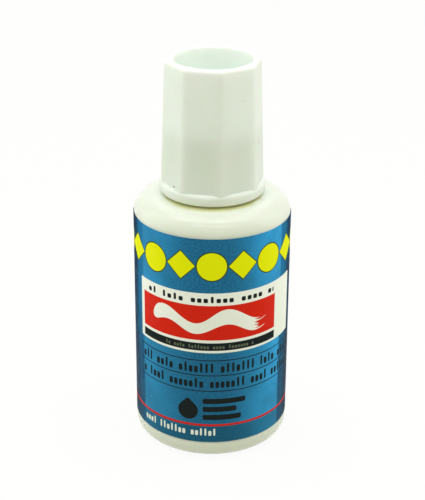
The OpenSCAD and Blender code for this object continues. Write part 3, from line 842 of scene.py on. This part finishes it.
away = bench.sum("ABSOLUTE", across)
# Painted light: the blue grows lighter towards both sides, where the side lamps fall on the film, and a
# little more so on the right.
ink = bench.paint(bench.ramp(across, 2.0, 13.0), srgb(31, 104, 156), srgb(58, 172, 246))
ink = bench.paint(bench.ramp(across, -2.0, -13.0), ink, srgb(50, 147, 210))
ink = bench.paint(bench.ramp(clouds(0.16, 3.0), 0.35, 0.65, 0.0, 0.35), ink, srgb(28, 98, 140))
ink = bench.paint(bench.ramp(clouds(2.6, 3.0), 0.35, 0.7, 0.0, 0.22), ink, srgb(66, 164, 214))
ink = bench.paint(bench.ramp(up, 7.4, 6.6, 0.0, 0.5), ink, srgb(22, 84, 112))
# Painted reflection: beyond about 14 mm round from the front the ground turns navy, a painted dark
# reflection where the body turns away, darker still lower down, with printed ripples laid on it.
dark_edge_mask = bench.ramp(away, 14.1, 14.9)
deep = bench.paint(bench.ramp(away, 15.6, 18.0), srgb(26, 116, 172), srgb(6, 48, 82))
deep = bench.paint(bench.ramp(up, 30.0, 12.0, 0.0, 0.55), deep, srgb(4, 46, 78))
ripple = clouds(0.33, 2.0, distortion=1.6)
ripple = bench.sum("MULTIPLY", bench.ramp(ripple, 0.5, 0.62), bench.ramp(ripple, 0.74, 0.62))
deep = bench.paint(bench.sum("MULTIPLY", ripple, 0.35), deep, srgb(36, 112, 152))
ink = bench.paint(dark_edge_mask, ink, deep)
print("ground laid:", len(label_film.node_tree.nodes), "nodes")

# %% Print the ring and the fields
WHITE_INK = srgb(252, 255, 255)
PALE_INK = srgb(150, 190, 196)
RED_INK = srgb(226, 40, 20)
DARK_INK = srgb(26, 36, 38)
FAINT_INK = srgb(104, 112, 96)
YELLOW_INK = srgb(240, 244, 6)
EDGE_INK = srgb(52, 70, 20)

RING_SHAPES = 16
ring_pitch = 2 * math.pi * BODY_R / RING_SHAPES
ring = bench.group(print_ring, Across=across, Up=up, Left=-2.5 * ring_pitch, Middle=38.4,
                   Pitch=ring_pitch, Size=5.15, Outline=0.2)
ink = bench.paint(ring.outputs["Edge"], ink, EDGE_INK)
ink = bench.paint(ring.outputs["Fill"], ink, YELLOW_INK)

FIELDS = [  # left, right, low, high, corner, colour
    (-15.1, 18.0, 21.8, 33.4, 0.3, WHITE_INK),
    (-14.2, 12.8, 24.3, 31.0, 0.1, RED_INK),
    (-14.2, 12.8, 22.25, 23.75, 0.1, DARK_INK),
    (24.0, 41.6, 8.4, 33.4, 0.5, WHITE_INK),
    (24.6, 41.0, 29.6, 32.8, 0.3, RED_INK),
    (-15.2, 18.9, 20.2, 20.38, 0.0, DARK_INK),
    (-15.2, 18.9, 17.18, 17.36, 0.0, DARK_INK),
    (-15.2, 18.9, 14.04, 14.22, 0.0, DARK_INK),
    (-15.3, -15.14, 14.04, 20.38, 0.0, DARK_INK),
    (18.84, 19.0, 14.04, 20.38, 0.0, DARK_INK),
    (-50.0, 50.0, 6.92, 7.36, 0.0, RED_INK),
    (-1.5, 6.3, 11.55, 12.6, 0.3, DARK_INK),
    (-1.5, 4.6, 9.9, 10.95, 0.3, DARK_INK),
    (-1.5, 5.5, 8.25, 9.3, 0.3, DARK_INK)]
for left, right, low, high, corner, colour in FIELDS:
    block = bench.group(print_block, Across=across, Up=up, Left=left, Right=right, Low=low,
                        High=high, Corner=corner)
    ink = bench.paint(block.outputs["Mask"], ink, colour)
print("fields printed:", len(FIELDS))

# %% Print the lines of small blocks
LINES = [  # left, right, low, tall, line step, lines, pitch, colour
    (-13.9, 12.8, 31.55, 1.25, 9.0, 1, 1.12, DARK_INK),
    (-8.6, 8.0, 22.6, 0.8, 9.0, 1, 0.55, FAINT_INK),
    (-14.6, 18.5, 14.8, 1.9, 3.05, 2, 0.95, DARK_INK),
    (-15.0, 1.1, 4.95, 1.5, 9.0, 1, 0.8, WHITE_INK),
    (25.4, 40.4, 10.0, 1.1, 2.1, 9, 0.8, DARK_INK),
    (26.0, 39.0, 30.6, 1.2, 9.0, 1, 1.0, WHITE_INK),
    (-41.4, -24.4, 9.4, 1.2, 2.35, 10, 0.86, PALE_INK)]
for seed, (left, right, low, tall, step, lines, pitch, colour) in enumerate(LINES):
    marks = bench.group(print_lines, Across=across, Up=up, Left=left, Right=right, Low=low, Tall=tall,
                        Line_step=step, Lines=lines, Pitch=pitch, Seed=seed * 13.37)
    ink = bench.paint(marks.outputs["Mask"], ink, colour)
print("groups of lines:", len(LINES))

# %% [markdown]
# ## A drop and a stroke
# Two motifs aren't rectangles. The drop is a disc and a square that stands on its corner, so that
# two sides of the square touch the disc. The stroke is a sine wave with a thickness: it swells and
# thins like one made with a loaded brush, and runs dry at its end, where noise stretched along it
# breaks it into hairs.

# %% Print the drop
DROP_S, DROP_Z, DROP_R = -4.2, 10.0, 1.85
aside = bench.sum("SUBTRACT", across, DROP_S)
above = bench.sum("SUBTRACT", up, DROP_Z)
slope_a = bench.sum("MULTIPLY", bench.sum("ADD", above, aside), math.sqrt(0.5))
slope_b = bench.sum("MULTIPLY", bench.sum("SUBTRACT", above, aside), math.sqrt(0.5))
for low, corner in ((-DROP_R, DROP_R), (0.0, 0.2)):
    part = bench.group(print_block, Across=slope_a, Up=slope_b, Left=low, Right=DROP_R, Low=low,
                       High=DROP_R, Corner=corner)
    ink = bench.paint(part.outputs["Mask"], ink, DARK_INK)
print("drop printed at", DROP_S, DROP_Z)

# %% Print the broad stroke
STROKE_MIDDLE, STROKE_SWING, STROKE_LONG = 27.65, 1.15, 0.55
STROKE_START, STROKE_END = -11.4, 11.0
bend = bench.sum("MULTIPLY", bench.sum("SINE", bench.sum("MULTIPLY", across, STROKE_LONG)), STROKE_SWING)
beside = bench.sum("SUBTRACT", up, bench.sum("ADD", bend, STROKE_MIDDLE))
swell = bench.ramp(bench.sum("SINE", bench.sum("MULTIPLY", across, 0.4)), -1.0, 1.0, 1.05, 1.5)
start = bench.ramp(across, STROKE_START, STROKE_START + 1.4, 0.0, 1.0, smooth=False)
start = bench.sum("SQRT", bench.sum("MULTIPLY", start, bench.sum("SUBTRACT", 2.0, start)))
end = bench.ramp(across, STROKE_END, STROKE_END - 1.0)
body = bench.sum("SUBTRACT", bench.sum("MULTIPLY", bench.sum("MULTIPLY", swell, start), end),
                 bench.sum("ABSOLUTE", beside))
hairs = bench.place("ShaderNodeCombineXYZ", {
    "X": bench.sum("MULTIPLY", across, 0.22), "Y": bench.sum("MULTIPLY", beside, 2.6)})
dry = bench.ramp(across, 4.0, 10.5, 0.0, 0.72, smooth=False)
wet = bench.ramp(bench.sum("SUBTRACT", clouds(1.0, 2.0, at=hairs.outputs["Vector"]), dry), -0.04, 0.04)
ink = bench.paint(bench.sum("MULTIPLY", bench.ramp(body, 0.0, 0.06), wet), ink, WHITE_INK)
print("stroke printed from", STROKE_START, "to", STROKE_END)

# %% [markdown]
# ## The film's gloss
# The film is glossy, with a little waviness where it was stretched round the body, and dust has
# settled on it. Most of its shine is in a thin clear coat, because a strong shine would veil the
# inks with white where the body turns away.

# %% Gloss and dust on the film
dust = bench.group(specks, Spacing_mm=3.7, Size_mm=0.16, Share=0.2)
ink = bench.paint(bench.sum("MULTIPLY", dust.outputs["Mask"], 0.6), ink, srgb(150, 190, 190))
bench.feed(shader.inputs["Base Color"], ink)
bench.feed(shader.inputs["Roughness"], bench.ramp(clouds(0.3, 2.0), 0.3, 0.7, 0.16, 0.24))
emboss(bench, shader, clouds(0.25, 1.0), 0.02)
shader.inputs["Specular IOR Level"].default_value = 0.0
shader.inputs["Coat Weight"].default_value = 0.1
shader.inputs["Coat Roughness"].default_value = 0.08
print("label_film:", len(label_film.node_tree.nodes), "nodes")

# %% [markdown]
# ## The label itself
# The film is a thin closed ring with an open seam at the back, from the left edge of the seam all
# the way round to its right edge. Both ends are capped, so that the mesh is a solid sheet.

# %% Wrap the label
LABEL_LOW, LABEL_HIGH = 3.6, 43.45
LABEL_IN, LABEL_OUT = 13.9, 14.0
SEAM_WIDE = 1.4
SEAM_HALF = math.asin(SEAM_WIDE / 2 / BODY_R)
label_turns = 240
label_rows = [(LABEL_IN, LABEL_LOW), (LABEL_OUT - 0.02, LABEL_LOW), (LABEL_OUT, LABEL_LOW + 0.04),
              (LABEL_OUT, LABEL_HIGH - 0.04), (LABEL_OUT - 0.02, LABEL_HIGH), (LABEL_IN, LABEL_HIGH)]
label_points, label_faces = [], []
for i in range(label_turns + 1):
    a = math.pi / 2 + SEAM_HALF + (2 * math.pi - 2 * SEAM_HALF) * i / label_turns
    label_points += [(r * math.cos(a), r * math.sin(a), z) for r, z in label_rows]
row_count = len(label_rows)
for i in range(label_turns):
    for k in range(row_count):
        j = (k + 1) % row_count
        label_faces.append((i * row_count + k, (i + 1) * row_count + k,
                            (i + 1) * row_count + j, i * row_count + j))
label_faces.append(tuple(range(row_count)))
label_faces.append(tuple(label_turns * row_count + k for k in reversed(range(row_count))))
label_wrap = new_piece("label_wrap", label_points, label_faces)
label_wrap.data.materials.append(label_film)
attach(label_wrap, "bottle")
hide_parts("label")
print("label_wrap:", len(label_faces), "faces")

# %% [markdown]
# ## The bristles
# The tuft is a few hundred nylon filaments, folded over a metal strip and wet with white fluid. A
# tree makes them: points on a disc, a straight line of a few points on each, and then every point
# of every line is moved by one rule. Its distance from the middle follows the tuft's outline, which
# swells to the belly and draws in to the tip, and a Voronoi pattern pulls neighbours together into
# the clumps that wet bristles make. Curve to Mesh gives each filament a thin four-sided section.

# %% Tree: a brush tuft
bench, given, result = new_tree(
    "brush_tuft", "GeometryNodeTree",
    [("Geometry", GEOMETRY, None), ("Filaments", "NodeSocketInt", 420), ("Root height", FLOAT, 0.0),
     ("Length", FLOAT, 0.0), ("Root radius", FLOAT, 0.0), ("Belly radius", FLOAT, 0.0),
     ("Tip radius", FLOAT, 0.0), ("Thickness", FLOAT, 0.0), ("Clumping", FLOAT, 0.5),
     ("Seed", FLOAT, 0.0), ("Material", "NodeSocketMaterial", None)],
    [("Geometry", GEOMETRY)])
roots = bench.place("GeometryNodePoints", {"Count": given["Filaments"]})
index = bench.place("GeometryNodeInputIndex").outputs["Index"]
# A sunflower's spiral spreads the roots evenly over a disc of radius 1
out = bench.sum("SQRT", bench.sum("DIVIDE", bench.sum("ADD", index, 0.5), given["Filaments"]))
swing = bench.sum("MULTIPLY", index, 2.399963)
root_spot = bench.place("ShaderNodeCombineXYZ", {
    "X": bench.sum("MULTIPLY", out, bench.sum("COSINE", swing)),
    "Y": bench.sum("MULTIPLY", out, bench.sum("SINE", swing))})
spread = bench.place("GeometryNodeSetPosition", {
    "Geometry": roots.outputs["Points"], "Position": root_spot.outputs["Vector"]})
kept = bench.place("GeometryNodeStoreNamedAttribute", {
    "Geometry": spread.outputs["Geometry"], "Name": "root_spot", "Value": root_spot.outputs["Vector"]},
    data_type="FLOAT_VECTOR", domain="POINT")
thread = bench.place("GeometryNodeCurvePrimitiveLine", {"Start": (0, 0, 0), "End": (0, 0, 1)})
stepped = bench.place("GeometryNodeResampleCurve", {"Curve": thread.outputs["Curve"], "Count": 8})
planted = bench.place("GeometryNodeInstanceOnPoints", {
    "Points": kept.outputs["Geometry"], "Instance": stepped.outputs["Curve"]})
threads = bench.place("GeometryNodeRealizeInstances", {"Geometry": planted.outputs["Instances"]})
home = bench.place("GeometryNodeInputNamedAttribute", {"Name": "root_spot"},
                   data_type="FLOAT_VECTOR").outputs["Attribute"]
down = bench.place("GeometryNodeSplineParameter").outputs["Factor"]
belly = bench.ramp(down, 0.0, 0.5, given["Root radius"], given["Belly radius"])
drawn_in = bench.ramp(down, 0.45, 1.0, 1.0, bench.sum("DIVIDE", given["Tip radius"], given["Belly radius"]))
reach = bench.sum("MULTIPLY", belly, drawn_in)
cells = bench.place("ShaderNodeTexVoronoi", {"Vector": home, "Scale": 2.2}, voronoi_dimensions="2D")
pull = bench.sum("MULTIPLY", bench.ramp(down, 0.2, 1.0), given["Clumping"])
gather = bench.place("ShaderNodeMix", {
    "Factor_Float": pull, "A_Vector": home, "B_Vector": cells.outputs["Position"]}, data_type="VECTOR")
gathered = next(s for s in gather.outputs if s.identifier == "Result_Vector")
side_axes = bench.place("ShaderNodeSeparateXYZ", {"Vector": gathered}).outputs
uneven = bench.place("ShaderNodeTexNoise", {
    "Vector": home, "W": given["Seed"], "Scale": 6.0, "Detail": 0.0}, noise_dimensions="4D")
short = bench.ramp(uneven.outputs["Fac"], 0.3, 0.7, 0.9, 1.0)
low = bench.sum("MULTIPLY", bench.sum("MULTIPLY", down, given["Length"]), short)
laid = bench.place("GeometryNodeSetPosition", {
    "Geometry": threads.outputs["Geometry"],
    "Position": bench.place("ShaderNodeCombineXYZ", {
        "X": bench.sum("MULTIPLY", side_axes["X"], reach),
        "Y": bench.sum("MULTIPLY", side_axes["Y"], reach),
        "Z": bench.sum("SUBTRACT", given["Root height"], low)}).outputs["Vector"]})
section = bench.place("GeometryNodeCurvePrimitiveCircle", {"Resolution": 4, "Radius": 1.0}, mode="RADIUS")
taper = bench.sum("MULTIPLY", given["Thickness"], bench.ramp(down, 0.7, 1.0, 0.5, 0.18))
swept = bench.place("GeometryNodeCurveToMesh", {
    "Curve": laid.outputs["Geometry"], "Profile Curve": section.outputs["Curve"], "Scale": taper,
    "Fill Caps": True})
real = bench.place("GeometryNodeRealizeInstances", {"Geometry": swept.outputs["Mesh"]})
named = bench.place("GeometryNodeSetMaterial", {
    "Geometry": real.outputs["Geometry"], "Material": given["Material"]})
bench.feed(result["Geometry"], named.outputs["Geometry"])
brush_tuft = bench.tree
print("brush_tuft:", len(brush_tuft.nodes), "nodes")

# %% Plant the tuft in its ferrule
STEM_END_Z = 21.1
TUFT_DEEP = 3.3
TUFT_OUT = 13.0
ROOT_R = 1.2
BELLY_R = 2.12
TIP_R = 0.8
bristle_nylon = plastic("bristle_nylon", srgb(252, 252, 248), srgb(240, 241, 235), 0.26, 0.5, 0.006,
                        coat=0.6, specks_share=0.0, glow=0.0)
tuft = new_piece("tuft", [(0, 0, 0), (1, 0, 0), (0, 1, 0)], [(0, 1, 2)])
run_trees(tuft, [(brush_tuft, {
    "Filaments": 420, "Root height": (STEM_END_Z + TUFT_DEEP) * MM,
    "Length": (TUFT_DEEP + TUFT_OUT) * MM, "Root radius": ROOT_R * MM,
    "Belly radius": BELLY_R * MM, "Tip radius": TIP_R * MM,
    "Thickness": 0.17 * MM, "Clumping": 0.5, "Seed": 7.0, "Material": bristle_nylon})])
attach(tuft, "cap")
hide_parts("bristles")

# %% [markdown]
# ## Steel, foam and the inner plastics
# The ball, the strip, the washer, the stem and the wiper plug are plain machine shapes that the CAD
# already gives exactly, so they keep their CAD meshes. The steel ball is ground, so it shows fine
# scratches in all directions. The strip is cut from sheet and is brushed along its length. The
# washer is closed-cell foam, whose cells show as small dimples.

# %% Finishes: steel and foam
def steel(name, colour, roughness, stretch):
    """A bright metal with fine scratches, drawn out along X by the stretch."""
    material, bench, shader = new_finish(name)
    place = bench.place("ShaderNodeTexCoord").outputs["Object"]
    drawn_out = bench.place("ShaderNodeMapping", {"Vector": place, "Scale": (1 / stretch, 1, 1)})
    scratch = bench.place("ShaderNodeTexNoise", {
        "Vector": drawn_out.outputs["Vector"], "Scale": 9 / MM, "Detail": 3.0}).outputs["Fac"]
    bench.feed(shader.inputs["Base Color"], bench.paint(
        bench.ramp(scratch, 0.4, 0.7, 0.0, 0.5), colour, tuple(0.7 * c for c in colour[:3]) + (1.0,)))
    bench.feed(shader.inputs["Roughness"], bench.ramp(scratch, 0.3, 0.7, roughness, roughness + 0.15))
    emboss(bench, shader, scratch, 0.003)
    shader.inputs["Metallic"].default_value = 1.0
    return material


ball_steel = steel("ball_steel", srgb(200, 201, 203), 0.16, 1.0)
anchor_metal = steel("anchor_metal", srgb(214, 209, 194), 0.25, 12.0)

washer_foam, bench, shader = new_finish("washer_foam")
place = bench.place("ShaderNodeTexCoord").outputs["Object"]
cells = bench.place("ShaderNodeTexVoronoi", {"Vector": place, "Scale": 5.5 / MM}).outputs["Distance"]
bench.feed(shader.inputs["Base Color"], bench.paint(
    bench.ramp(cells, 0.2, 0.7), srgb(226, 229, 222), srgb(240, 242, 236)))
bench.feed(shader.inputs["Roughness"], bench.ramp(cells, 0.1, 0.6, 0.75, 0.6))
emboss(bench, shader, cells, 0.03)

CAD_FINISHES = {
    "wiper_insert": wiper_plastic, "mixing_ball": ball_steel, "seal_washer": washer_foam,
    "brush_stem": stem_plastic, "brush_anchor": anchor_metal}
for name, material in CAD_FINISHES.items():
    for slot in frame["nodes"][name].material_slots:
        slot.material = material
print("CAD meshes kept:", ", ".join(CAD_FINISHES))

# %% [markdown]
# ## Floor, lamps and world
# The object stands on a wide sheet of white paper. To the camera the paper is almost pure white,
# and only a part of it answers the light, so that a faint shadow is left to hold the object down.
# The light is plain: an even world does most of the work, a large roof panel behind the bottle
# lights the tops, and a narrow soft panel at each side lifts the flanks. Five thin strips overhead
# do one more job. A round, glossy shoulder mirrors each of them as a fine bright line, and such
# lines are how the eye tells gloss from satin. They are placed in an arch, so that their images
# join into one line that follows the shoulder, with two short streaks below it. The world's light
# is a little yellow and the lamps a little blue, so the sides that the lamps miss look warmer.
# Lamps are hidden from the camera, as a studio's are out of view.

# %% Lay the paper
def seen_directly(bench):
    """1 for camera, mirror and glass rays, and 0 for the light that falls on things."""
    path = bench.place("ShaderNodeLightPath").outputs
    mirrored = bench.sum("MAXIMUM", path["Is Glossy Ray"], path["Is Transmission Ray"])
    return bench.sum("MAXIMUM", path["Is Camera Ray"], mirrored)


PAPER_SIZE = 8.0
PAPER_GLOW = 1.035
PAPER_SHOWN = 0.9  # the share of the paper that the camera sees as plain white
bpy.ops.mesh.primitive_plane_add(size=PAPER_SIZE)
paper = bpy.context.active_object
paper.name = "paper"
paper_white, bench, shader = new_finish("paper_white")
shader.inputs["Roughness"].default_value = 0.9
shader.inputs["Specular IOR Level"].default_value = 0.1
fibre = bench.place("ShaderNodeTexNoise", {
    "Vector": bench.place("ShaderNodeTexCoord").outputs["Object"], "Scale": 900.0})
bench.feed(shader.inputs["Base Color"], bench.paint(
    fibre.outputs["Fac"], srgb(203, 203, 188), srgb(208, 208, 194)))
glow = bench.place("ShaderNodeEmission", {"Color": (1, 1, 1, 1), "Strength": PAPER_GLOW})
shown = bench.sum("MULTIPLY", seen_directly(bench), PAPER_SHOWN)
both = bench.place("ShaderNodeMixShader", {
    0: shown, 1: shader.outputs["BSDF"], 2: glow.outputs["Emission"]})
surface = paper_white.node_tree.nodes["Material Output"].inputs["Surface"]
bench.feed(surface, both.outputs["Shader"])
paper.data.materials.append(paper_white)
print("paper laid, metres across:", PAPER_SIZE)

# %% Light the world
AMBIENT = 0.675
ROOM_TINT = (0.985, 1.0, 0.78, 1.0)
world = bpy.data.worlds.new("studio")
bpy.context.scene.world = world
world.use_nodes = True
bench = Bench(world.node_tree)
strength = bench.ramp(seen_directly(bench), 0.0, 1.0, AMBIENT, 1.0, smooth=False)
room = bench.paint(seen_directly(bench), ROOM_TINT, (1.0, 1.0, 1.0, 1.0))
bench.feed(world.node_tree.nodes["Background"].inputs["Color"], room)
bench.feed(world.node_tree.nodes["Background"].inputs["Strength"], strength)
print("ambient light:", AMBIENT)


# %% Hang the lamps
def panel(name, at, aim, wide, tall, watts, turn=0.0, colour=(1.0, 1.0, 1.0)):
    """A soft panel lamp at one place, facing another, turned about the line between them."""
    lamp = bpy.data.lights.new(name, "AREA")
    lamp.shape = "RECTANGLE"
    lamp.size = wide
    lamp.size_y = tall
    lamp.energy = watts
    lamp.color = colour
    holder = bpy.data.objects.new(name, lamp)
    bpy.context.scene.collection.objects.link(holder)
    holder.location = at
    away = holder.location - Matrix.Translation(aim).translation
    facing = away.to_track_quat("Z", "Y") @ Quaternion((0, 0, 1), math.radians(turn))
    holder.rotation_euler = facing.to_euler()
    holder.visible_camera = False


SIDE_COLOUR = (0.94, 1.0, 0.99)
ROOF_COLOUR = (0.93, 0.97, 1.0)
STRIP_COLOUR = (0.92, 0.88, 0.98)
SIDE_OFF, SIDE_Y, SIDE_Z = 0.062, 0.003, 0.047
ROOF_Y, ROOF_Z, LOOK_Z = 0.225, 0.34, 0.05
for name, off, watts in (("left_panel", -SIDE_OFF, 0.0098), ("right_panel", SIDE_OFF, 0.0084)):
    panel(name, (off, SIDE_Y, SIDE_Z), (0, SIDE_Y, SIDE_Z), 0.044, 0.1, watts, colour=SIDE_COLOUR)
panel("roof_panel", (0.0, ROOF_Y, ROOF_Z), (0, ROOF_Y, LOOK_Z), 0.4, 0.54, 0.42, colour=ROOF_COLOUR)
STRIPS = [  # x, y, wide, deep, turn, watts for each metre of width
    (0.0, -0.036, 0.13, 0.024, 0, 0.94),
    (-0.125, 0.002, 0.14, 0.024, -25, 0.88),
    (0.125, 0.002, 0.14, 0.024, 25, 0.88),
    (-0.08, -0.138, 0.08, 0.014, -38, 0.5),
    (0.05, -0.174, 0.13, 0.014, 0, 0.42)]
for number, (x, y, wide, deep, turn, strength) in enumerate(STRIPS):
    panel(f"strip_{number}", (x, y, ROOF_Z), (x, y, LOOK_Z), wide, deep, strength * wide, turn,
          STRIP_COLOUR)
print("lamps:", 3 + len(STRIPS))
